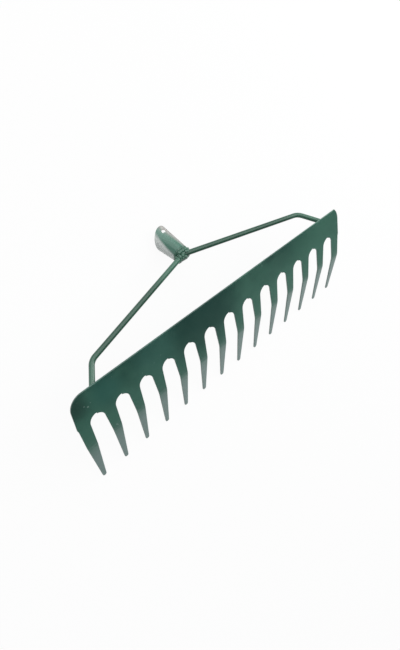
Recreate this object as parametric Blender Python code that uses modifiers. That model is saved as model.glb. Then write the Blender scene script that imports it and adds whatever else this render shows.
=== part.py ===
"""Garden rake head: a punched and bent steel comb, a bow of round rod and a rolled socket, all welded.

The head is modelled in the frame of its comb. X runs along the comb, the comb's front face lies at
y = 0 with its top edge at z = 0, and the bow and the socket lie behind it, toward +Y. The head is
then laid on its tine tips and the rim of its socket, as it lies when it is put down, with the front
face up and the origin under the middle of the head.
"""

import math

import bmesh
import bpy
import numpy as np
from mathutils import Euler, Matrix, Vector

# Sizes are in metres and angles in radians
CLEARANCE = 0.0003
WELD_DISTANCE = 0.000002
SHARP_ANGLE = math.radians(30)
FRAME_DISPLAY_SIZE = 0.02

# Comb
SHEET = 0.0015
SHEET_EDGE_RADIUS = 0.0003
TINE_COUNT = 14
TINE_PITCH = 0.028
TINE_ROOT_WIDTH = 0.0122
TIP_RADIUS = 0.0021
COMB_DEPTH = 0.119
BAND_DEPTH = 0.0302
ARCH_RADIUS = 0.009
NICK_OFFSET = 0.0013
NICK_DROP = 0.001
END_OVERHANG = 0.0068
END_FLARE = 0.0016
END_FLARE_DEPTH = 0.035
END_STEP = 0.0007
END_STEP_DEPTH = 0.038
END_TAPER_DEPTH = 0.062
LEFT_CORNER_RADIUS = 0.0156
LEFT_CORNER_DEPTH = 0.0156
RIGHT_CORNER_RADIUS = 0.0224
RIGHT_CORNER_DEPTH = 0.0154
BEND_DEPTH = 0.0616
BEND_RADIUS = 0.028
BEND_ANGLE = math.radians(12.0)
LEFT_BEND_ANGLE = math.radians(9.0)
BEND_ANGLE_STEP = math.radians(0.6)
BEND_FACETS = 10
CORNER_FACETS = 10
TIP_FACETS = 8
ARCH_FACETS = 10

# Bow, bent by hand, so that its two corners differ a little
ROD_RADIUS = 0.00275
BOW_SLOPE = math.radians(27.0)
BOW_FOOT_INSET = 0.0263
BOW_FOOT_DROP = 0.0078
LEFT_BOW_CORNER_INSET = 0.0438
LEFT_BOW_CORNER_REACH = 0.0237
RIGHT_BOW_CORNER_INSET = 0.0434
RIGHT_BOW_CORNER_REACH = 0.0264
BOW_REACH = 0.062
BOW_BEND_RADIUS = 0.015
BOW_BEND_FACETS = 8
ROD_FACETS = 8

# Socket
SOCKET_TILT = math.radians(16.0)
SOCKET_DROP = 0.0021
SOCKET_START = 0.0042
SOCKET_LENGTH = 0.0297
SOCKET_END_RADIUS = 0.0094
SOCKET_MOUTH_RADIUS = 0.0115
SOCKET_WALL = 0.0014
SOCKET_FACETS = 56
MOUTH_SLANT = math.radians(30.6)
MOUTH_LONG_SIDE = math.radians(53.0)
SEAM_WIDTH = 0.001
SEAM_SIDE = math.radians(232.0)
HOLE_DIAMETER = 0.0058
HOLE_SIDE = math.radians(78.0)
HOLE_FROM_END = 0.0268
HOLE_FACETS = 24

# Welds
SOCKET_WELD_RADII = (0.0082, 0.0088, 0.0076)
SOCKET_WELD_CENTER = 0.001
FOOT_WELD_RADII = (0.0064, 0.004, 0.0048)
WELD_LUMPS = 17
WELD_LUMP_HEIGHT = 0.2
WELD_LUMP_SPREAD = 0.07
WELD_SUBDIVISIONS = 3

# Halvings of the angle when the head is laid on its tips and its socket
LEVEL_HALVINGS = 48

# Display colours, each channel in 0 to 255, and roughness of the paint on each kind of piece
COMB_COLOR = (58, 96, 84)
COMB_ROUGHNESS = 0.42
ROD_COLOR = (85, 130, 110)
ROD_ROUGHNESS = 0.22
SOCKET_COLOR = (92, 135, 120)
SOCKET_ROUGHNESS = 0.3
WELD_COLOR = (60, 95, 80)
WELD_ROUGHNESS = 0.2


def linear(display_color):
    """The linear colour that a material takes for a display colour."""
    channels = [value / 255 for value in display_color]
    return [c / 12.92 if c <= 0.04045 else ((c + 0.055) / 1.055) ** 2.4 for c in channels] + [1.0]


def painted(name, color, roughness):
    material = bpy.data.materials.new(name)
    material.use_nodes = True
    shader = material.node_tree.nodes["Principled BSDF"]
    shader.inputs["Base Color"].default_value = linear(color)
    shader.inputs["Roughness"].default_value = roughness
    shader.inputs["Metallic"].default_value = 0.0
    return material


def clear_scene():
    for obj in list(bpy.data.objects):
        bpy.data.objects.remove(obj, do_unlink=True)


def new_collection(name):
    collection = bpy.data.collections.new(name)
    bpy.context.scene.collection.children.link(collection)
    return collection


def add_part(name, data, collection, parent, material=None):
    obj = bpy.data.objects.new(name, data)
    collection.objects.link(obj)
    obj.parent = parent
    if material:
        data.materials.append(material)
    return obj


def add_frame(name, collection, parent=None):
    """An empty that holds the pieces modelled in its frame."""
    frame = add_part(name, None, collection, parent)
    frame.empty_display_size = FRAME_DISPLAY_SIZE
    return frame


def mesh_from(bm, name):
    mesh = bpy.data.meshes.new(name)
    bm.normal_update()
    bm.to_mesh(mesh)
    bm.free()
    mesh.shade_smooth()
    mesh.set_sharp_from_angle(angle=SHARP_ANGLE)
    return mesh


def arc(center, radius, start, end, steps):
    """Points on an arc from one angle to another, both ends included."""
    turns = [start + (end - start) * step / steps for step in range(steps + 1)]
    return [(center[0] + radius * math.cos(a), center[1] + radius * math.sin(a)) for a in turns]


def bmesh_of_curve(curve):
    """The solid of a curve as a bmesh with its caps welded on. The curve is removed."""
    holder = bpy.data.objects.new(curve.name, curve)
    bpy.context.scene.collection.objects.link(holder)
    graph = bpy.context.evaluated_depsgraph_get()
    mesh = bpy.data.meshes.new_from_object(holder.evaluated_get(graph))
    bm = bmesh.new()
    bm.from_mesh(mesh)
    bmesh.ops.remove_doubles(bm, verts=bm.verts, dist=WELD_DISTANCE)
    bpy.data.objects.remove(holder)
    bpy.data.curves.remove(curve)
    bpy.data.meshes.remove(mesh)
    return bm


def poly_curve(name, dimensions, points, cyclic):
    curve = bpy.data.curves.new(name, "CURVE")
    curve.dimensions = dimensions
    spline = curve.splines.new("POLY")
    spline.points.add(len(points) - 1)
    for target, point in zip(spline.points, points):
        target.co = (*point, 1.0) if len(point) == 3 else (*point, 0.0, 1.0)
    spline.use_cyclic_u = cyclic
    return curve


def cut_away(bm, point, normal):
    """Removes what lies on the normal's side of a plane and closes the cut with a flat face."""
    geometry = bm.verts[:] + bm.edges[:] + bm.faces[:]
    bmesh.ops.bisect_plane(bm, geom=geometry, plane_co=point, plane_no=normal, clear_outer=True)
    rim = [edge for edge in bm.edges if edge.is_boundary]
    bmesh.ops.contextual_create(bm, geom=rim)


def add_cutter(target, name, bm, collection, parent):
    """A hidden solid that a Boolean takes out of the target."""
    cutter = add_part(name, mesh_from(bm, name), collection, parent)
    cutter.hide_render = True
    cutter.display_type = "WIRE"
    boolean = target.modifiers.new(name, "BOOLEAN")
    boolean.operation = "DIFFERENCE"
    boolean.object = cutter
    return cutter


def tine_centers():
    """Places of the tines along the comb, from the right end to the left."""
    middle = (TINE_COUNT - 1) / 2
    return [(middle - index) * TINE_PITCH for index in range(TINE_COUNT)]


def comb_reach():
    """Distance from the middle of the comb to its right end, where it is widest."""
    return tine_centers()[0] + END_OVERHANG


def slot_arch(center):
    """The punched top of one slot, from its right side to its left.

    Two strokes of the punch meet there: the left arc reaches higher, and its end makes a small nick.
    """
    half_width = (TINE_PITCH - TINE_ROOT_WIDTH) / 2
    shift = ARCH_RADIUS - half_width
    right_end = math.acos((NICK_OFFSET + shift) / ARCH_RADIUS)
    left_start = math.acos((NICK_OFFSET - shift) / ARCH_RADIUS)
    left_center = (center + shift, -BAND_DEPTH - ARCH_RADIUS)
    right_center = (center - shift, left_center[1] - NICK_DROP)
    right = arc(right_center, ARCH_RADIUS, 0.0, right_end, ARCH_FACETS)
    left = arc(left_center, ARCH_RADIUS, left_start, math.pi, ARCH_FACETS)
    return right + left


def end_outline(corner_radius, corner_depth):
    """A right end of the comb, from the top edge down to where its last tine starts to taper.

    A corner that is less deep than its radius is clipped: it meets the top edge at an angle.
    """
    reach = comb_reach()
    corner = (reach - END_FLARE - corner_radius, -corner_depth)
    start = math.asin(corner_depth / corner_radius)
    top_corner = arc(corner, corner_radius, start, 0.0, CORNER_FACETS)
    tine_side = reach - END_STEP
    return top_corner + [
        (reach, -END_FLARE_DEPTH),
        (tine_side, -END_STEP_DEPTH),
        (tine_side, -END_TAPER_DEPTH),
    ]


def comb_outline():
    """The flat blank of the comb, clockwise, with its depth down the sheet as -Y."""
    centers = tine_centers()
    mirrored_left_end = end_outline(LEFT_CORNER_RADIUS, LEFT_CORNER_DEPTH)
    left_end = [(-x, y) for x, y in reversed(mirrored_left_end)]
    outline = end_outline(RIGHT_CORNER_RADIUS, RIGHT_CORNER_DEPTH)
    for center in centers:
        tip = (center, TIP_RADIUS - COMB_DEPTH)
        outline += arc(tip, TIP_RADIUS, 0.0, -math.pi, TIP_FACETS)
        if center != centers[-1]:
            outline += slot_arch(center - TINE_PITCH / 2)
    return outline + left_end


def bend_of_tine(x):
    """How far the tine at this place is bent back. The ones toward the left end are bent less."""
    tines_to_left = round(x / TINE_PITCH + (TINE_COUNT - 1) / 2)
    return min(LEFT_BEND_ANGLE + tines_to_left * BEND_ANGLE_STEP, BEND_ANGLE)


def bent(point):
    """Where a point of the flat sheet lies once the tines are bent back."""
    middle = SHEET / 2
    depth = -point.z - BEND_DEPTH
    if depth <= 0:
        return point
    angle = min(depth / BEND_RADIUS, bend_of_tine(point.x))
    beyond = depth - angle * BEND_RADIUS
    radius = BEND_RADIUS - (point.y - middle)
    y = middle + BEND_RADIUS - radius * math.cos(angle) + beyond * math.sin(angle)
    z = -BEND_DEPTH - radius * math.sin(angle) - beyond * math.cos(angle)
    return Vector((point.x, y, z))


def make_comb(collection, head):
    blank = poly_curve("comb_blank", "2D", comb_outline(), cyclic=True)
    blank.fill_mode = "BOTH"
    blank.extrude = SHEET / 2 - SHEET_EDGE_RADIUS
    blank.bevel_depth = SHEET_EDGE_RADIUS
    blank.bevel_resolution = 1
    blank.offset = -SHEET_EDGE_RADIUS
    bm = bmesh_of_curve(blank)
    upright = Matrix.Translation((0, SHEET / 2, 0)) @ Matrix.Rotation(math.pi / 2, 4, "X")
    bmesh.ops.transform(bm, matrix=upright, verts=bm.verts)
    for facet in range(BEND_FACETS + 1):
        depth = BEND_DEPTH + BEND_RADIUS * BEND_ANGLE * facet / BEND_FACETS
        geometry = bm.verts[:] + bm.edges[:] + bm.faces[:]
        bmesh.ops.bisect_plane(bm, geom=geometry, plane_co=(0, 0, -depth), plane_no=(0, 0, 1))
    for vert in bm.verts:
        vert.co = bent(vert.co)
    paint = painted("comb_paint", COMB_COLOR, COMB_ROUGHNESS)
    return add_part("comb", mesh_from(bm, "comb"), collection, head, paint)


def bow_point(x, reach):
    """A point of the bow's sloping plane, at a distance up its slope from the comb's back."""
    y = SHEET + reach * math.cos(BOW_SLOPE)
    z = -BOW_FOOT_DROP + reach * math.sin(BOW_SLOPE)
    return Vector((x, y, z))


def bow_foot(side):
    """Where the middle of one foot of the bow meets the comb's back."""
    return bow_point(side * (comb_reach() - BOW_FOOT_INSET), 0.0)


def bow_corner(side):
    """Where the two straight runs of one half of the bow would meet."""
    inset = LEFT_BOW_CORNER_INSET if side < 0 else RIGHT_BOW_CORNER_INSET
    reach = LEFT_BOW_CORNER_REACH if side < 0 else RIGHT_BOW_CORNER_REACH
    return bow_point(side * (comb_reach() - inset), reach)


def rounded_corner(start, corner, end, radius):
    """Points of the arc that rounds the corner between two straight runs."""
    back = (start - corner).normalized()
    ahead = (end - corner).normalized()
    half_angle = back.angle(ahead) / 2
    center = corner + (back + ahead).normalized() * radius / math.sin(half_angle)
    first = corner + back * radius / math.tan(half_angle) - center
    last = corner + ahead * radius / math.tan(half_angle) - center
    axis, angle = first.rotation_difference(last).to_axis_angle()
    step = angle / BOW_BEND_FACETS
    turns = [Matrix.Rotation(step * k, 3, axis) for k in range(BOW_BEND_FACETS + 1)]
    return [center + turn @ first for turn in turns]


def arm_rod(side, radius, middle_gap):
    """One half of the bow as a round rod, cut flat in the middle, that runs on past its foot."""
    foot = bow_foot(side)
    corner = bow_corner(side)
    middle = bow_point(0.0, BOW_REACH)
    overrun = 3 * ROD_RADIUS
    start = foot + (foot - corner).normalized() * overrun
    end = middle + (middle - corner).normalized() * overrun
    path = [start, *rounded_corner(start, corner, end, BOW_BEND_RADIUS), end]
    curve = poly_curve("arm_rod", "3D", path, cyclic=False)
    curve.bevel_depth = radius
    curve.bevel_resolution = ROD_FACETS
    curve.use_fill_caps = True
    bm = bmesh_of_curve(curve)
    cut_away(bm, (side * middle_gap, 0, 0), (-side, 0, 0))
    return bm


def arm_channel(side):
    """The room that a weld leaves for one arm. Both channels overlap in the middle."""
    return arm_rod(side, ROD_RADIUS + CLEARANCE, -CLEARANCE)


def make_arm(name, side, collection, head, paint):
    bm = arm_rod(side, ROD_RADIUS, CLEARANCE / 2)
    cut_away(bm, (0, SHEET + CLEARANCE, 0), (0, -1, 0))
    return add_part(name, mesh_from(bm, name), collection, head, paint)


def socket_frame(collection, head):
    """A frame on the socket's axis where it passes the bow. +Z runs out to the mouth, -Y up."""
    frame = add_frame("socket_axis", collection, head)
    frame.rotation_euler = (SOCKET_TILT - math.pi / 2, 0, 0)
    frame.location = bow_point(0.0, BOW_REACH)
    frame.location += frame.rotation_euler.to_matrix() @ Vector((0, SOCKET_DROP, 0))
    return frame


def box(length, width, height):
    """A box that stands on the XY plane, centred over the origin."""
    bm = bmesh.new()
    bmesh.ops.create_cube(bm, size=1.0)
    bmesh.ops.translate(bm, verts=bm.verts, vec=(0, 0, 0.5))
    bmesh.ops.scale(bm, verts=bm.verts, vec=(length, width, height))
    return bm


def socket_radius(along):
    """Outer radius of the socket at a distance from where its axis passes the bow."""
    share = (along - SOCKET_START) / SOCKET_LENGTH
    return SOCKET_END_RADIUS + (SOCKET_MOUTH_RADIUS - SOCKET_END_RADIUS) * share


def make_socket(collection, cutters, frame):
    mean_mouth = SOCKET_START + SOCKET_LENGTH
    top = mean_mouth + 1.5 * SOCKET_MOUTH_RADIUS * math.tan(MOUTH_SLANT)
    profile = bmesh.new()
    corners = [
        (socket_radius(top), top),
        (socket_radius(SOCKET_START), SOCKET_START),
        (socket_radius(SOCKET_START) - SOCKET_WALL, SOCKET_START),
        (socket_radius(top) - SOCKET_WALL, top),
    ]
    verts = [profile.verts.new((radius, 0, height)) for radius, height in corners]
    for index, vert in enumerate(verts):
        profile.edges.new((vert, verts[(index + 1) % len(verts)]))
    paint = painted("socket_paint", SOCKET_COLOR, SOCKET_ROUGHNESS)
    socket = add_part("socket", mesh_from(profile, "socket"), collection, frame, paint)
    turn = socket.modifiers.new("turn", "SCREW")
    turn.steps = turn.render_steps = SOCKET_FACETS
    turn.use_merge_vertices = True
    turn.merge_threshold = WELD_DISTANCE

    # The mouth is cut on a slant, its long side toward the upper right
    far = 4 * SOCKET_MOUTH_RADIUS
    mouth = add_cutter(socket, "mouth_cut", box(far, far, far), cutters, frame)
    mouth.location = (0, 0, mean_mouth)
    mouth.rotation_euler = (0, -MOUTH_SLANT, -MOUTH_LONG_SIDE)

    # The rolled sheet leaves an open seam along the short side
    seam = add_cutter(socket, "seam_cut", box(SEAM_WIDTH, far, far), cutters, frame)
    seam.rotation_euler = (0, 0, math.pi / 2 - SEAM_SIDE)
    seam.location = (far / 2 * math.cos(SEAM_SIDE), -far / 2 * math.sin(SEAM_SIDE), 0)

    # One hole for a fixing screw goes through the wall near the mouth
    drill = bmesh.new()
    bmesh.ops.create_cone(
        drill,
        cap_ends=True,
        segments=HOLE_FACETS,
        radius1=HOLE_DIAMETER / 2,
        radius2=HOLE_DIAMETER / 2,
        depth=2 * SOCKET_MOUTH_RADIUS,
    )
    bmesh.ops.translate(drill, verts=drill.verts, vec=(0, 0, SOCKET_MOUTH_RADIUS))
    hole = add_cutter(socket, "screw_hole_cut", drill, cutters, frame)
    hole.location = (0, 0, SOCKET_START + HOLE_FROM_END)
    hole.rotation_euler = (0, math.pi / 2, -HOLE_SIDE)
    return socket


def lump_directions():
    """Directions spread evenly over a ball, one for each lump of a weld."""
    golden = math.pi * (3 - math.sqrt(5))
    directions = []
    for index in range(WELD_LUMPS):
        height = 1 - (2 * index + 1) / WELD_LUMPS
        ring = math.sqrt(1 - height * height)
        turn = golden * index
        directions.append(Vector((ring * math.cos(turn), ring * math.sin(turn), height)))
    return directions


def weld_ball(radii):
    """A ball of weld metal, swollen into smooth lumps."""
    lumps = lump_directions()
    bm = bmesh.new()
    bmesh.ops.create_icosphere(bm, subdivisions=WELD_SUBDIVISIONS, radius=1.0)
    for vert in bm.verts:
        swell = sum(math.exp((vert.co.dot(lump) - 1) / WELD_LUMP_SPREAD) for lump in lumps)
        vert.co *= 1 - WELD_LUMP_HEIGHT / 2 + WELD_LUMP_HEIGHT * swell
    bmesh.ops.scale(bm, verts=bm.verts, vec=radii)
    return bm


def make_socket_weld(collection, cutters, head, frame, paint):
    """The weld that fills the socket's narrow end and holds the inner ends of both arms."""
    bm = weld_ball(SOCKET_WELD_RADII)
    bmesh.ops.translate(bm, verts=bm.verts, vec=(0, -SOCKET_DROP / 2, SOCKET_WELD_CENTER))
    cut_away(bm, (0, 0, SOCKET_START - CLEARANCE), (0, 0, 1))
    weld = add_part("socket_weld", mesh_from(bm, "socket_weld"), collection, frame, paint)
    for name, side in (("left_arm_channel", -1), ("right_arm_channel", 1)):
        add_cutter(weld, name, arm_channel(side), cutters, head)
    return weld


def make_foot_weld(name, side, collection, cutters, head, paint):
    """The weld bead round the foot of one arm, flat against the comb's back."""
    bm = weld_ball(FOOT_WELD_RADII)
    bmesh.ops.translate(bm, verts=bm.verts, vec=bow_foot(side))
    cut_away(bm, (0, SHEET + CLEARANCE, 0), (0, -1, 0))
    weld = add_part(name, mesh_from(bm, name), collection, head, paint)
    add_cutter(weld, name + "_channel", arm_channel(side), cutters, head)
    return weld


def world_points(obj):
    evaluated = obj.evaluated_get(bpy.context.evaluated_depsgraph_get())
    mesh = evaluated.to_mesh()
    points = np.array([evaluated.matrix_world @ vert.co for vert in mesh.vertices])
    evaluated.to_mesh_clear()
    return points


def lowest(points, angle):
    """Height of the lowest point once the head is turned about X."""
    return (points[:, 1] * math.sin(angle) + points[:, 2] * math.cos(angle)).min()


def lay_down(head, comb, socket, parts):
    """Turns the head until its tips and its socket's rim are level, and sets it down on z = 0."""
    comb_points = world_points(comb)
    socket_points = world_points(socket)
    flat, upright = -math.pi / 2, 0.0
    for _ in range(LEVEL_HALVINGS):
        angle = (flat + upright) / 2
        if lowest(comb_points, angle) > lowest(socket_points, angle):
            flat = angle
        else:
            upright = angle
    head.rotation_euler = Euler((angle, 0, 0))
    bpy.context.view_layer.update()
    points = np.vstack([world_points(part) for part in parts])
    low, high = points.min(axis=0), points.max(axis=0)
    head.location = (-(low[0] + high[0]) / 2, -(low[1] + high[1]) / 2, -low[2])
    bpy.context.view_layer.update()


def main():
    clear_scene()
    rake = new_collection("garden_rake")
    cutters = new_collection("cutters")
    head = add_frame("rake_head", rake)
    rod_paint = painted("rod_paint", ROD_COLOR, ROD_ROUGHNESS)
    weld_paint = painted("weld_paint", WELD_COLOR, WELD_ROUGHNESS)

    comb = make_comb(rake, head)
    left_arm = make_arm("left_arm", -1, rake, head, rod_paint)
    right_arm = make_arm("right_arm", 1, rake, head, rod_paint)
    frame = socket_frame(rake, head)
    socket = make_socket(rake, cutters, frame)
    socket_weld = make_socket_weld(rake, cutters, head, frame, weld_paint)
    left_weld = make_foot_weld("left_weld", -1, rake, cutters, head, weld_paint)
    right_weld = make_foot_weld("right_weld", 1, rake, cutters, head, weld_paint)

    bpy.context.view_layer.update()
    parts = (comb, left_arm, right_arm, socket, socket_weld, left_weld, right_weld)
    lay_down(head, comb, socket, parts)


main()
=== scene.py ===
"""Garden rake head, painted steel, lying on its tine tips and the rim of its socket."""

import math

import bpy
from mathutils import Matrix, Vector


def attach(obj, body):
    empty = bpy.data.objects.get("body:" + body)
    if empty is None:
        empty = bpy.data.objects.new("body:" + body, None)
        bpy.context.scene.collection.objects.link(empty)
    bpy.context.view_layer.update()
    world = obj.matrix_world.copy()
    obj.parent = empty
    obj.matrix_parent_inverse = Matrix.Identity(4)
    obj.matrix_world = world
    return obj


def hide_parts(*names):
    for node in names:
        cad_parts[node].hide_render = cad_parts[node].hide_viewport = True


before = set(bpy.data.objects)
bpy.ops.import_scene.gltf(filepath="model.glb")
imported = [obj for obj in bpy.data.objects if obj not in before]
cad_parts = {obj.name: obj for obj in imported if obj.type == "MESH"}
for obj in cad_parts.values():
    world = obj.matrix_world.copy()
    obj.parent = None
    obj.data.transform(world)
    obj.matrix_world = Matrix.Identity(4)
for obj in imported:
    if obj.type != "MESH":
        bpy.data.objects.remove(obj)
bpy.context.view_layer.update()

# Camera
# It looks down on the head from behind its left half, as the photograph does. Its lens is set for a frame of 400 by
# 650.
camera_data = bpy.data.cameras.new("camera")
camera_data.sensor_width = 36.0
camera_data.lens = 27.7588
camera = bpy.data.objects.new("camera", camera_data)
camera.location = (-0.25696713, 0.11302353, 0.4796536)
camera.rotation_euler = (0.03948827, -0.53578812, -0.58528006)
bpy.context.scene.collection.objects.link(camera)
bpy.context.scene.camera = camera


# Studio
# Broad soft boxes overhead and behind, a small one at the right end, and a room that is light above and dark in
# front. Whatever the camera sees past the floor is plain white.
class Paint:
    """One value in a node tree. Arithmetic on it adds Math nodes, and node() adds any other node."""

    def __init__(self, tree, socket=None):
        self.tree = tree
        self.socket = socket

    def node(self, kind, settings, sockets, output=0):
        added = self.tree.nodes.new(kind)
        for name, value in settings.items():
            if name == "stops":
                elements = added.color_ramp.elements
                while len(elements) < len(value):
                    elements.new(1.0)
                for element, (position, color) in zip(elements, value):
                    element.position = position
                    element.color = color
            else:
                setattr(added, name, value)
        for name, value in sockets.items():
            if isinstance(value, Paint):
                self.tree.links.new(value.socket, added.inputs[name])
            else:
                added.inputs[name].default_value = value
        return Paint(self.tree, added.outputs[output] if len(added.outputs) else None)

    def math(self, operation, first, second):
        return self.node("ShaderNodeMath", {"operation": operation}, {0: first, 1: second})

    def ramp(self, low, high):
        """Rises smoothly from 0 to 1 as this value goes from low to high."""
        return self.node(
            "ShaderNodeMapRange",
            {"interpolation_type": "SMOOTHSTEP"},
            {"Value": self, "From Min": low, "From Max": high},
        )

    def __add__(self, other):
        return self.math("ADD", self, other)

    def __sub__(self, other):
        return self.math("SUBTRACT", self, other)

    def __rsub__(self, other):
        return self.math("SUBTRACT", other, self)

    def __mul__(self, other):
        return self.math("MULTIPLY", self, other)

    def __gt__(self, other):
        return self.math("GREATER_THAN", self, other)

    def __lt__(self, other):
        return self.math("LESS_THAN", self, other)

    __radd__ = __add__
    __rmul__ = __mul__


soft_boxes = (
    ("overhead_box", 2.2, 1.7, 18.5, (0.35, 0.5, 1.3)),
    ("back_box", 2.4, 1.0, 9.0, (0.0, 1.7, 0.75)),
    ("side_box", 0.5, 0.5, 3.0, (0.8, 0.15, 0.5)),
)
for name, width, height, power, place in soft_boxes:
    lamp = bpy.data.lights.new(name, "AREA")
    lamp.shape = "RECTANGLE"
    lamp.size = width
    lamp.size_y = height
    lamp.energy = power
    holder = bpy.data.objects.new(name, lamp)
    holder.location = place
    holder.rotation_euler = Vector(place).to_track_quat("Z", "Y").to_euler()
    bpy.context.scene.collection.objects.link(holder)

room = bpy.data.worlds.new("room")
room.use_nodes = True
room.node_tree.nodes.clear()
brush = Paint(room.node_tree)
compass = room.node_tree.nodes.new("ShaderNodeSeparateXYZ")
room.node_tree.links.new(brush.node("ShaderNodeTexCoord", {}, {}, "Generated").socket, compass.inputs[0])
back = Paint(room.node_tree, compass.outputs["Y"])
above = Paint(room.node_tree, compass.outputs["Z"])
brightness = above.ramp(0.3, 1.0) * 0.4 + back.ramp(-0.2, 0.8) * 0.3 + 0.06
rays = room.node_tree.nodes.new("ShaderNodeLightPath")
seen = Paint(room.node_tree, rays.outputs["Is Camera Ray"])
sky = brush.node("ShaderNodeBackground", {}, {"Color": (0.95, 0.98, 1.0, 1.0), "Strength": brightness})
white = brush.node("ShaderNodeBackground", {}, {"Color": (1.0, 1.0, 1.0, 1.0), "Strength": 1.0})
surface = brush.node("ShaderNodeMixShader", {}, {0: seen, 1: sky, 2: white})
brush.node("ShaderNodeOutputWorld", {}, {"Surface": surface})
bpy.context.scene.world = room
bpy.context.scene.view_settings.view_transform = "Standard"


# Studio floor
# A broad sheet of white paper. Part of its white is its own, so that it shows white, and it keeps a soft shadow.
def new_paint(name):
    """A material with no nodes yet, and the start of its node tree."""
    material = bpy.data.materials.new(name)
    material.use_nodes = True
    material.node_tree.nodes.clear()
    return material, Paint(material.node_tree)


paper, brush = new_paint("white_paper")
grain = brush.node(
    "ShaderNodeTexNoise", {}, {"Vector": brush.node("ShaderNodeTexCoord", {}, {}, "Object"), "Scale": 6.0}
)
paper_white = brush.node(
    "ShaderNodeMix",
    {"data_type": "RGBA"},
    {0: grain, 6: (0.7, 0.7, 0.7, 1), 7: (0.74, 0.74, 0.74, 1)},
    2,
)
matte = brush.node("ShaderNodeBsdfDiffuse", {}, {"Color": paper_white})
lit = brush.node("ShaderNodeEmission", {}, {"Color": (1, 1, 1, 1), "Strength": 1.0})
rays = brush.tree.nodes.new("ShaderNodeLightPath")
seen = Paint(brush.tree, rays.outputs["Is Camera Ray"]) + Paint(brush.tree, rays.outputs["Is Glossy Ray"])
seen = seen + Paint(brush.tree, rays.outputs["Is Transmission Ray"])
surface = brush.node("ShaderNodeMixShader", {}, {0: seen * 0.94, 1: matte, 2: lit})
brush.node("ShaderNodeOutputMaterial", {}, {"Surface": surface})

bpy.ops.object.select_all(action="DESELECT")
bpy.ops.mesh.primitive_plane_add(size=6.0, location=(0, 0, 0))
floor = bpy.context.object
floor.name = "floor"
floor.data.materials.append(paper)


# Comb
# One sheet of 1.5 mm steel, punched into tines with rounded slots between them, then bent back across the tines.
# Its punched edges are slightly rounded and lighter, a painted highlight, and it is dipped in dark green gloss paint
# that settled unevenly. Painted light makes the sheet lighter further down, at the tine ends and at the right end, and
# puts a painted highlight left of the middle and a painted dark reflection at the left end.
def display(red, green, blue):
    """A colour read off a screen, 0 to 255, as the linear colour that a material takes."""
    shares = [value / 255 for value in (red, green, blue)]
    return (*[s / 12.92 if s <= 0.04045 else ((s + 0.055) / 1.055) ** 2.4 for s in shares], 1.0)


def edit(piece):
    """Leaves this piece alone selected, in edit mode."""
    bpy.ops.object.select_all(action="DESELECT")
    piece.select_set(True)
    bpy.context.view_layer.objects.active = piece
    bpy.ops.object.mode_set(mode="EDIT")


def finish_mesh(piece, sharp_angle):
    """Back to object mode, smooth shading up to an angle, and flat faces that keep their own normals."""
    bpy.ops.object.mode_set(mode="OBJECT")
    bpy.ops.object.shade_smooth_by_angle(angle=math.radians(sharp_angle))
    piece.modifiers.new("even_normals", "WEIGHTED_NORMAL").keep_sharp = True
    bpy.ops.object.modifier_apply(modifier="even_normals")


sheet_thickness = 0.0015
head_pose = Matrix.Translation((0, 0.00845388, 0.069478)) @ Matrix.Rotation(math.radians(-60.19678625), 4, "X")
front_normal = head_pose.to_3x3() @ Vector((0, -1, 0))
down_the_sheet = head_pose.to_3x3() @ Vector((0, 0, -1))
comb_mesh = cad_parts["comb"].data.copy()
comb_mesh.name = "comb_sheet"
comb_mesh.materials.clear()
comb_sheet = bpy.data.objects.new("comb_sheet", comb_mesh)
bpy.context.scene.collection.objects.link(comb_sheet)
edit(comb_sheet)
bpy.ops.mesh.select_all(action="SELECT")
bpy.ops.mesh.remove_doubles(threshold=0.000002)
finish_mesh(comb_sheet, 50)

comb_paint, brush = new_paint("comb_paint")
place = brush.node("ShaderNodeTexCoord", {}, {}, "Object")
pooling = brush.node("ShaderNodeTexNoise", {}, {"Vector": place, "Scale": 11.0, "Detail": 3.0, "Roughness": 0.55})
mottle = brush.node("ShaderNodeTexNoise", {}, {"Vector": place, "Scale": 75.0, "Detail": 2.0})
peel = brush.node("ShaderNodeTexNoise", {}, {"Vector": place, "Scale": 520.0, "Detail": 1.0})
waves = brush.node("ShaderNodeTexNoise", {}, {"Vector": place, "Scale": 17.0, "Detail": 1.0})
dust = brush.node("ShaderNodeTexVoronoi", {}, {"Vector": place, "Scale": 120.0}, "Distance")
dusty = brush.node("ShaderNodeTexNoise", {}, {"Vector": place, "Scale": 38.0, "Detail": 0.0})
specks = (dust < 0.05) * (dusty > 0.6)
for mark, size in (
    ((-0.1747, -0.0047, 0.0619), 0.0007),
    ((-0.1716, -0.0072, 0.0605), 0.0009),
    ((-0.1683, -0.0049, 0.0618), 0.0005),
    ((-0.154, -0.0428, 0.0401), 0.0008),
    ((-0.1532, -0.044, 0.0394), 0.0006),
    ((0.0548, 0.0046, 0.0673), 0.0006),
):
    near = brush.node("ShaderNodeVectorMath", {"operation": "DISTANCE"}, {0: place, 1: mark}, "Value")
    specks = specks + (near < size)
facing = brush.node(
    "ShaderNodeVectorMath",
    {"operation": "DOT_PRODUCT"},
    {0: brush.node("ShaderNodeTexCoord", {}, {}, "Normal"), 1: front_normal},
    "Value",
)
punched = 1 - (facing * facing).ramp(0.3, 0.8)
comb_color = brush.node(
    "ShaderNodeMix",
    {"data_type": "RGBA"},
    {0: (pooling * 0.8 + mottle * 0.2).ramp(0.36, 0.62), 6: display(20, 68, 58), 7: display(52, 100, 84)},
    2,
)
depth = brush.node("ShaderNodeVectorMath", {"operation": "DOT_PRODUCT"}, {0: place, 1: down_the_sheet}, "Value")
depth = depth - down_the_sheet.dot(head_pose.translation)
# Painted light: the sheet is made lighter further down.
lower_sheen = (depth + pooling * 0.01).ramp(0.006, 0.056)
comb_color = brush.node(
    "ShaderNodeMix", {"data_type": "RGBA"}, {0: lower_sheen * 0.75, 6: comb_color, 7: display(66, 114, 98)}, 2
)
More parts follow.
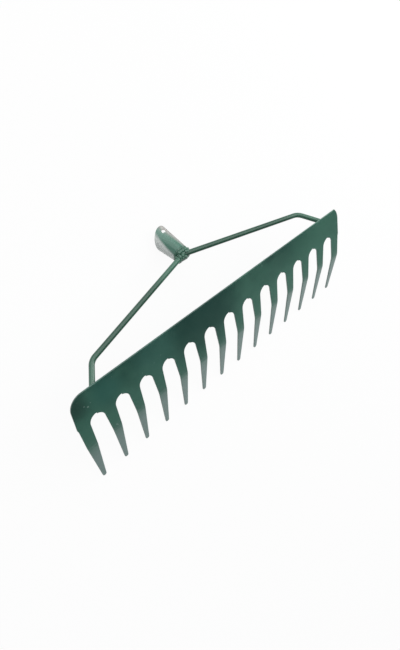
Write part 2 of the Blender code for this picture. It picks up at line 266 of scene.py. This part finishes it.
# Patches of tone along the band: a big dark one in the middle and a bluer one on the left half. The dark one at the
# left end is a painted dark reflection, the light one left of the middle is a painted highlight, and the green one at
# the right end is painted light where more light falls.
for patch_center, reach, share, tone in (
    ((-0.035, 0.0, 0.065), 0.066, 0.85, display(8, 60, 52)),
    ((-0.186, 0.0, 0.064), 0.022, 0.6, display(16, 46, 40)),
    ((-0.152, -0.004, 0.062), 0.024, 0.5, display(44, 100, 90)),
    ((-0.094, -0.002, 0.063), 0.034, 0.4, display(64, 114, 102)),
    ((0.15, 0.0, 0.065), 0.075, 0.6, display(52, 106, 88)),
):
    from_patch = brush.node("ShaderNodeVectorMath", {"operation": "DISTANCE"}, {0: place, 1: patch_center}, "Value")
    in_patch = 1 - (from_patch + pooling * (reach * 0.6)).ramp(reach * 0.5, reach * 1.3)
    comb_color = brush.node("ShaderNodeMix", {"data_type": "RGBA"}, {0: in_patch * share, 6: comb_color, 7: tone}, 2)
# Painted reflection: the tine ends below the bend are made lighter and greyer.
tine_end_sheen = depth.ramp(0.056, 0.086)
comb_color = brush.node(
    "ShaderNodeMix", {"data_type": "RGBA"}, {0: tine_end_sheen * 0.8, 6: comb_color, 7: display(80, 118, 113)}, 2
)
# Painted highlight: the punched edges are made lighter, more so further down the sheet.
edge_highlight_share = depth.ramp(0.001, 0.012) * 0.5 + 0.1
comb_color = brush.node(
    "ShaderNodeMix", {"data_type": "RGBA"}, {0: punched * edge_highlight_share, 6: comb_color, 7: display(118, 138, 130)}, 2
)
comb_color = brush.node(
    "ShaderNodeMix", {"data_type": "RGBA"}, {0: specks * 0.45, 6: comb_color, 7: display(150, 175, 165)}, 2
)
# The bend at this depth is softened in the shading, from where the sheet starts to curve to where it is straight again
bend_depth, curve_start, curve_end, bend_sine = 0.064, 0.049, 0.081, 0.19
relief_strength, relief_distance = 0.3, 0.001
in_curve = brush.math("MAXIMUM", brush.math("MINIMUM", depth, curve_end) - curve_start, 0.0)
curved = in_curve * in_curve * (0.5 / (curve_end - curve_start)) + brush.math("MAXIMUM", depth - curve_end, 0.0)
bent = brush.math("MAXIMUM", depth - bend_depth, 0.0)
eased = (curved - bent) * facing * (-bend_sine / (relief_strength * relief_distance))
relief = brush.node(
    "ShaderNodeBump",
    {},
    {
        "Strength": relief_strength,
        "Distance": relief_distance,
        "Height": eased + waves * 0.9 + peel * 0.02 + specks * 0.05,
    },
)
surface = brush.node(
    "ShaderNodeBsdfPrincipled",
    {},
    {
        "Base Color": comb_color,
        "Roughness": mottle * 0.1 + pooling * 0.1 + punched * 0.2 + 0.26,
        "IOR": 1.5,
        "Coat Weight": 0.6,
        "Coat Roughness": 0.28,
        "Normal": relief,
    },
)
brush.node("ShaderNodeOutputMaterial", {}, {"Surface": surface})
comb_sheet.data.materials.append(comb_paint)
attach(comb_sheet, "root")
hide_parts("comb")

# Bow
# Round rod, 5.5 mm thick, bent by hand, from each end of the comb's back up to the socket. Its two halves end inside
# the weld at the socket. The paint on it is thick and glossy, with a few runs.
clearance = 0.0003
foot_drop = 0.0078
foot_reach = 0.1625
bow_slope = math.radians(27)
rod_radius = 0.00275
bend_radius = 0.015
bow_pose = head_pose @ Matrix.Translation((0, sheet_thickness, -foot_drop)) @ Matrix.Rotation(bow_slope, 4, "X")
comb_back = head_pose @ Vector((0, sheet_thickness + clearance, 0))
back_normal = -front_normal


def bow_half(name, side, rod_corner):
    """A left half of the bow, swept in its own plane and cut flat at the comb, or its mirror image."""
    rod_foot = Vector((-foot_reach, 0.0, 0.0))
    rod_middle = Vector((-0.0002, 0.06195, 0.0))
    first_run = (rod_corner - rod_foot).normalized()
    second_run = (rod_middle - rod_corner).normalized()
    bend_angle = first_run.angle(second_run)
    bend_start = rod_corner - first_run * bend_radius * math.tan(bend_angle / 2)
    bend_end = rod_corner + second_run * bend_radius * math.tan(bend_angle / 2)
    bend_center = bend_start + Vector((first_run.y, -first_run.x, 0)) * bend_radius
    rod_start = rod_foot - first_run * 0.009
    bpy.ops.object.select_all(action="DESELECT")
    bpy.ops.mesh.primitive_circle_add(
        vertices=40,
        radius=rod_radius,
        fill_type="NGON",
        location=rod_start,
        rotation=(math.pi / 2, 0, math.atan2(first_run.x, -first_run.y)),
    )
    rod = bpy.context.object
    rod.name = name
    bpy.ops.object.transform_apply(location=True, rotation=True, scale=True)
    edit(rod)
    bpy.ops.mesh.select_all(action="SELECT")
    bpy.ops.mesh.extrude_region_move(TRANSFORM_OT_translate={"value": bend_start - rod_start})
    bpy.ops.mesh.spin(steps=14, angle=bend_angle, center=bend_center, axis=(0, 0, 1))
    bpy.ops.mesh.extrude_region_move(TRANSFORM_OT_translate={"value": rod_middle - bend_end})
    bpy.ops.object.mode_set(mode="OBJECT")
    if side > 0:
        rod.data.transform(Matrix.Scale(-1, 4, (1, 0, 0)))
    rod.data.transform(bow_pose)
    edit(rod)
    bpy.ops.mesh.select_all(action="SELECT")
    bpy.ops.mesh.bisect(plane_co=comb_back, plane_no=back_normal, use_fill=True, clear_inner=True)
    bpy.ops.mesh.select_all(action="SELECT")
    bpy.ops.mesh.normals_make_consistent(inside=False)
    finish_mesh(rod, 40)
    return rod


left_rod = bow_half("left_rod", -1, Vector((-0.145, 0.0237, 0.0)))
right_rod = bow_half("right_rod", 1, Vector((-0.1454, 0.0264, 0.0)))

rod_paint, brush = new_paint("rod_paint")
place = brush.node("ShaderNodeTexCoord", {}, {}, "Object")
flow = brush.node("ShaderNodeTexNoise", {}, {"Vector": place, "Scale": 45.0, "Detail": 3.0})
peel = brush.node("ShaderNodeTexNoise", {}, {"Vector": place, "Scale": 420.0, "Detail": 1.0})
rod_color = brush.node(
    "ShaderNodeMix", {"data_type": "RGBA"}, {0: flow, 6: display(24, 60, 46), 7: display(48, 88, 70)}, 2
)
rod_axes = brush.tree.nodes.new("ShaderNodeSeparateXYZ")
brush.tree.links.new(place.socket, rod_axes.inputs[0])
across = Paint(brush.tree, rod_axes.outputs["X"]) + flow * 0.03
# Painted highlight: stretches of the rod near its feet and beside the weld are made lighter.
painted_sheen = 1 - across.ramp(-0.145, -0.115) + across.ramp(-0.05, -0.005) * (1 - across.ramp(0.006, 0.014))
painted_sheen = painted_sheen + across.ramp(0.14, 0.18)
rod_color = brush.node(
    "ShaderNodeMix", {"data_type": "RGBA"}, {0: painted_sheen * 0.85, 6: rod_color, 7: display(64, 106, 88)}, 2
)
relief = brush.node(
    "ShaderNodeBump", {}, {"Strength": 0.35, "Distance": 0.0006, "Height": flow * 0.8 + peel * 0.06}
)
surface = brush.node(
    "ShaderNodeBsdfPrincipled",
    {},
    {"Base Color": rod_color, "Roughness": flow * 0.14 + 0.08, "IOR": 1.5, "Normal": relief},
)
brush.node("ShaderNodeOutputMaterial", {}, {"Surface": surface})
for rod, node in ((left_rod, "left_arm"), (right_rod, "right_arm")):
    rod.data.materials.append(rod_paint)
    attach(rod, "root")
    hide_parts(node)

# Socket
# A strip of 1.4 mm steel rolled into a cone with an open seam. Its mouth is cut on a slant and it has one hole for a
# screw through the handle. The paint has long marks from rolling; the pale band beside the seam and the greyish band
# on the far side are painted reflections, and the walls of the hole are painted light.
socket_place = (0, 0.05284839, 0.02884801)
socket_turn = math.radians(-134.19678625)
socket_pose = Matrix.Translation(socket_place) @ Matrix.Rotation(socket_turn, 4, "X")
socket_start = 0.0042
socket_top = 0.046
narrow_radius = 0.0094
mouth_radius = 0.0115
socket_length = 0.0297
wall_thickness = 0.0014
cone_growth = (mouth_radius - narrow_radius) / socket_length
mouth_turn = Matrix.Rotation(math.radians(-53), 3, "Z") @ Matrix.Rotation(math.radians(-30.6), 3, "Y")
bpy.ops.object.select_all(action="DESELECT")
bpy.ops.mesh.primitive_cone_add(
    vertices=112,
    radius1=narrow_radius,
    radius2=narrow_radius + cone_growth * (socket_top - socket_start),
    depth=socket_top - socket_start,
    end_fill_type="NOTHING",
    location=(0, 0, (socket_start + socket_top) / 2),
)
rolled_socket = bpy.context.object
rolled_socket.name = "rolled_socket"
bpy.ops.object.transform_apply(location=True, rotation=True, scale=True)
edit(rolled_socket)
bpy.ops.mesh.select_all(action="SELECT")
mouth_center = (0, 0, socket_start + socket_length)
bpy.ops.mesh.bisect(plane_co=mouth_center, plane_no=mouth_turn @ Vector((0, 0, 1)), clear_outer=True)
bpy.ops.object.mode_set(mode="OBJECT")
wall = rolled_socket.modifiers.new("wall", "SOLIDIFY")
wall.thickness = wall_thickness
wall.offset = -1.0
wall.use_even_offset = True
bpy.ops.object.modifier_apply(modifier="wall")

seam_side = math.radians(-232)
seam_width = 0.001
bpy.ops.object.select_all(action="DESELECT")
bpy.ops.mesh.primitive_cube_add(
    size=1, location=(0.014 * math.cos(seam_side), 0.014 * math.sin(seam_side), 0.025)
)
seam_saw = bpy.context.object
seam_saw.scale = (0.02, seam_width, 0.08)
seam_saw.rotation_euler = (0, 0, seam_side)
hole_side = math.radians(-72.5)
hole_radius = 0.0042
hole_height = 0.031
hole_flat = 0.0302
bpy.ops.object.select_all(action="DESELECT")
bpy.ops.mesh.primitive_cylinder_add(
    vertices=48,
    radius=hole_radius,
    depth=0.012,
    location=(0.011 * math.cos(hole_side), 0.011 * math.sin(hole_side), hole_height),
    rotation=(0, math.pi / 2, hole_side),
)
hole_drill = bpy.context.object
bpy.ops.object.transform_apply(location=True, rotation=True, scale=True)
edit(hole_drill)
bpy.ops.mesh.select_all(action="SELECT")
bpy.ops.mesh.bisect(plane_co=(0, 0, hole_flat), plane_no=(0, 0, 1), use_fill=True, clear_inner=True)
bpy.ops.object.mode_set(mode="OBJECT")
bpy.context.view_layer.objects.active = rolled_socket
for tool in (seam_saw, hole_drill):
    cut = rolled_socket.modifiers.new("cut", "BOOLEAN")
    cut.operation = "DIFFERENCE"
    cut.object = tool
    bpy.ops.object.modifier_apply(modifier="cut")
    bpy.data.objects.remove(tool)
rounding = rolled_socket.modifiers.new("rounding", "BEVEL")
rounding.width = 0.00025
rounding.segments = 3
rounding.limit_method = "ANGLE"
rounding.angle_limit = math.radians(35)
bpy.ops.object.modifier_apply(modifier="rounding")
rolled_socket.data.transform(socket_pose)
edit(rolled_socket)
finish_mesh(rolled_socket, 50)

socket_paint, brush = new_paint("socket_paint")
place = brush.node("ShaderNodeTexCoord", {}, {}, "Object")
on_cone = brush.node(
    "ShaderNodeMapping",
    {"vector_type": "TEXTURE"},
    {"Vector": place, "Location": socket_place, "Rotation": (socket_turn, 0, 0)},
)
cone_axes = brush.tree.nodes.new("ShaderNodeSeparateXYZ")
brush.tree.links.new(on_cone.socket, cone_axes.inputs[0])
across = Paint(brush.tree, cone_axes.outputs["X"])
up = Paint(brush.tree, cone_axes.outputs["Y"])
along = Paint(brush.tree, cone_axes.outputs["Z"])
around = brush.math("ARCTAN2", up * -1.0, across * -1.0)
stretched = brush.node("ShaderNodeVectorMath", {"operation": "MULTIPLY"}, {0: on_cone, 1: (1.0, 1.0, 0.08)})
rolling = brush.node("ShaderNodeTexNoise", {}, {"Vector": stretched, "Scale": 380.0, "Detail": 3.0})
pooling = brush.node("ShaderNodeTexNoise", {}, {"Vector": place, "Scale": 60.0, "Detail": 3.0})
peel = brush.node("ShaderNodeTexNoise", {}, {"Vector": place, "Scale": 500.0, "Detail": 1.0})
socket_color = brush.node(
    "ShaderNodeMix",
    {"data_type": "RGBA"},
    {0: rolling * 0.3 + pooling * 0.7, 6: display(64, 102, 88), 7: display(84, 124, 109)},
    2,
)
near_mouth = along.ramp(0.01, 0.034) * 0.45
socket_color = brush.node(
    "ShaderNodeMix", {"data_type": "RGBA"}, {0: near_mouth, 6: socket_color, 7: display(108, 142, 130)}, 2
)
# Painted reflection: a pale band beside the seam on the lower side.
toward_seam = around * -1.0 + along * 22.0 + pooling * 0.12
painted_sheen = toward_seam.ramp(-0.32, 0.04) * (1 - toward_seam.ramp(1.36, 1.56))
socket_color = brush.node(
    "ShaderNodeMix", {"data_type": "RGBA"}, {0: painted_sheen, 6: socket_color, 7: display(200, 205, 202)}, 2
)
# Painted reflection: a greyish band on the far side, toward the upper right, with a rougher finish.
far_side = around + along * 16.0 + pooling * 0.1
grazing_reflection = far_side.ramp(1.85, 2.7) * (1 - far_side.ramp(2.9, 3.3))
socket_color = brush.node(
    "ShaderNodeMix", {"data_type": "RGBA"}, {0: grazing_reflection * 0.9, 6: socket_color, 7: display(156, 151, 148)}, 2
)
# A small pale spot near the rim of the mouth.
from_pale_spot = brush.node(
    "ShaderNodeVectorMath", {"operation": "DISTANCE"}, {0: place, 1: (0.0035, 0.0872, 0.011)}, "Value"
)
socket_color = brush.node(
    "ShaderNodeMix",
    {"data_type": "RGBA"},
    {0: (from_pale_spot < 0.0007) * 0.8, 6: socket_color, 7: display(222, 222, 216)},
    2,
)
# Painted light: the walls of the screw hole, which lie in shade, are made pale, with a rougher finish.
hole_axis = socket_pose.to_3x3() @ Vector((math.cos(hole_side), math.sin(hole_side), 0))
hole_center = socket_pose @ Vector((0.0106 * math.cos(hole_side), 0.0106 * math.sin(hole_side), 0.0325))
turned = brush.node(
    "ShaderNodeVectorMath",
    {"operation": "DOT_PRODUCT"},
    {0: brush.node("ShaderNodeTexCoord", {}, {}, "Normal"), 1: hole_axis},
    "Value",
)
from_hole = brush.node("ShaderNodeVectorMath", {"operation": "DISTANCE"}, {0: place, 1: hole_center}, "Value")
lit_hole_wall = (1 - (turned * turned).ramp(0.2, 0.7)) * (from_hole < 0.006)
socket_color = brush.node(
    "ShaderNodeMix", {"data_type": "RGBA"}, {0: lit_hole_wall, 6: socket_color, 7: display(236, 230, 226)}, 2
)
relief = brush.node(
    "ShaderNodeBump", {}, {"Strength": 0.3, "Distance": 0.0005, "Height": rolling * 0.2 + pooling * 0.5 + peel * 0.05}
)
surface = brush.node(
    "ShaderNodeBsdfPrincipled",
    {},
    {
        "Base Color": socket_color,
        "Roughness": rolling * 0.12 + grazing_reflection * 0.3 + lit_hole_wall * 0.4 + 0.14,
        "IOR": 1.5,
        "Normal": relief,
    },
)
brush.node("ShaderNodeOutputMaterial", {}, {"Surface": surface})
rolled_socket.data.materials.append(socket_paint)
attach(rolled_socket, "root")
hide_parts("socket")


# Weld at the socket
# A ring of big weld drops round the narrow end of the socket, laid over the ends of both rods, with a dark hollow in
# its middle, darkened partly by painted shade. The paint is thick and glossy on the drops, with painted shade in the
# creases and painted highlights on the crests.
def weld_from_drops(name, drops, pose, voxel):
    """One body of weld metal from overlapping balls, each given as its centre and three radii."""
    balls = []
    for center, radii in drops:
        bpy.ops.object.select_all(action="DESELECT")
        bpy.ops.mesh.primitive_ico_sphere_add(subdivisions=4, radius=1, location=center)
        ball = bpy.context.object
        ball.scale = radii
        balls.append(ball)
    for ball in balls:
        ball.select_set(True)
    bpy.ops.object.join()
    weld = bpy.context.object
    weld.name = name
    bpy.ops.object.transform_apply(location=True, rotation=True, scale=True)
    fuse = weld.modifiers.new("fuse", "REMESH")
    fuse.mode = "VOXEL"
    fuse.voxel_size = voxel
    bpy.ops.object.modifier_apply(modifier="fuse")
    soften = weld.modifiers.new("soften", "SMOOTH")
    soften.factor = 0.5
    soften.iterations = 2
    bpy.ops.object.modifier_apply(modifier="soften")
    weld.data.transform(pose)
    return weld


socket_drops = [
    ((0, -0.0004, 0.0036), (0.0092, 0.009, 0.0022)),
    ((0, -0.001, 0.0006), (0.0054, 0.0048, 0.0036)),
    ((0.0006, 0.001, -0.001), (0.0084, 0.0044, 0.0028)),
]
for start, end, size, count in (
    ((-0.0044, -0.0058, 0.0014), (0.0024, -0.0064, 0.0014), 0.0018, 4),
    ((0.0042, -0.0062, 0.0014), (0.0074, -0.004, 0.0014), 0.0018, 3),
    ((0.0066, -0.0034, -0.0004), (0.0084, -0.0022, -0.0008), 0.0018, 2),
    ((0.0028, -0.0052, -0.0012), (0.0044, -0.0046, -0.0014), 0.0015, 2),
    ((-0.0062, -0.0036, 0.0008), (-0.0064, -0.0048, -0.0016), 0.0014, 3),
    ((-0.0068, -0.0042, -0.003), (-0.0074, -0.0008, -0.0042), 0.0013, 4),
    ((-0.0072, 0.001, -0.0032), (-0.0062, 0.005, -0.0006), 0.0016, 4),
    ((-0.003, -0.0036, -0.0022), (-0.0034, -0.0016, -0.0032), 0.0017, 2),
    ((0.0002, -0.0012, -0.0034), (0.0014, 0.0014, -0.003), 0.0017, 3),
    ((0.0074, 0.0016, 0.001), (0.0056, 0.005, 0.0016), 0.0022, 3),
    ((0.0026, 0.0064, 0.0016), (-0.0026, 0.0068, 0.0016), 0.0022, 3),
    ((-0.0066, 0.0036, 0.0016), (-0.0078, -0.0008, 0.0016), 0.002, 3),
):
    for step in range(count):
        place = Vector(start).lerp(Vector(end), step / (count - 1))
        socket_drops.append((place, (size, size, size)))
socket_bead = weld_from_drops("socket_bead", socket_drops, socket_pose, 0.00022)
edit(socket_bead)
finish_mesh(socket_bead, 60)

weld_paint, brush = new_paint("weld_paint")
place = brush.node("ShaderNodeTexCoord", {}, {}, "Object")
pooling = brush.node("ShaderNodeTexNoise", {}, {"Vector": place, "Scale": 180.0, "Detail": 3.0})
# Painted shade: the creases between the drops are darkened.
crease_shade = 1 - brush.node("ShaderNodeNewGeometry", {}, {}, "Pointiness").ramp(0.38, 0.49)
weld_color = brush.node(
    "ShaderNodeMix", {"data_type": "RGBA"}, {0: pooling, 6: display(40, 82, 66), 7: display(74, 116, 98)}, 2
)
weld_color = brush.node(
    "ShaderNodeMix", {"data_type": "RGBA"}, {0: crease_shade * 0.8, 6: weld_color, 7: display(16, 34, 28)}, 2
)
# Painted highlight: the crests of the drops are made pale.
crest_highlight = brush.node("ShaderNodeNewGeometry", {}, {}, "Pointiness").ramp(0.51, 0.6)
weld_color = brush.node(
    "ShaderNodeMix", {"data_type": "RGBA"}, {0: crest_highlight * 0.7, 6: weld_color, 7: display(182, 196, 188)}, 2
)
relief = brush.node("ShaderNodeBump", {}, {"Strength": 0.3, "Distance": 0.0003, "Height": pooling})
surface = brush.node(
    "ShaderNodeBsdfPrincipled",
    {},
    {"Base Color": weld_color, "Roughness": pooling * 0.12 + 0.04, "IOR": 1.5, "Normal": relief},
)
brush.node("ShaderNodeOutputMaterial", {}, {"Surface": surface})
socket_bead.data.materials.append(weld_paint)
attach(socket_bead, "root")
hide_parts("socket_weld")

# Welds at the feet
# A short ring of weld drops holds each foot of the bow to the comb's back. The same thick paint covers them.
drop_count = 8
foot_drops = [((0, 0.0008, 0), (0.0052, 0.0028, 0.0038))]
for index in range(drop_count):
    turn = 2 * math.pi * (index + 0.4) / drop_count
    center = (0.0044 * math.cos(turn), 0.0009 + 0.0003 * math.sin(2.9 * index), 0.0032 * math.sin(turn))
    foot_drops.append((center, (0.0019, 0.0018, 0.0017)))
for name, node, side in (("left_bead", "left_weld", -1), ("right_bead", "right_weld", 1)):
    pose = head_pose @ Matrix.Translation((side * foot_reach, sheet_thickness, -foot_drop))
    bead = weld_from_drops(name, foot_drops, pose, 0.0003)
    edit(bead)
    bpy.ops.mesh.select_all(action="SELECT")
    bpy.ops.mesh.bisect(plane_co=comb_back, plane_no=back_normal, use_fill=True, clear_inner=True)
    finish_mesh(bead, 60)
    bead.data.materials.append(weld_paint)
    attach(bead, "root")
    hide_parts(node)
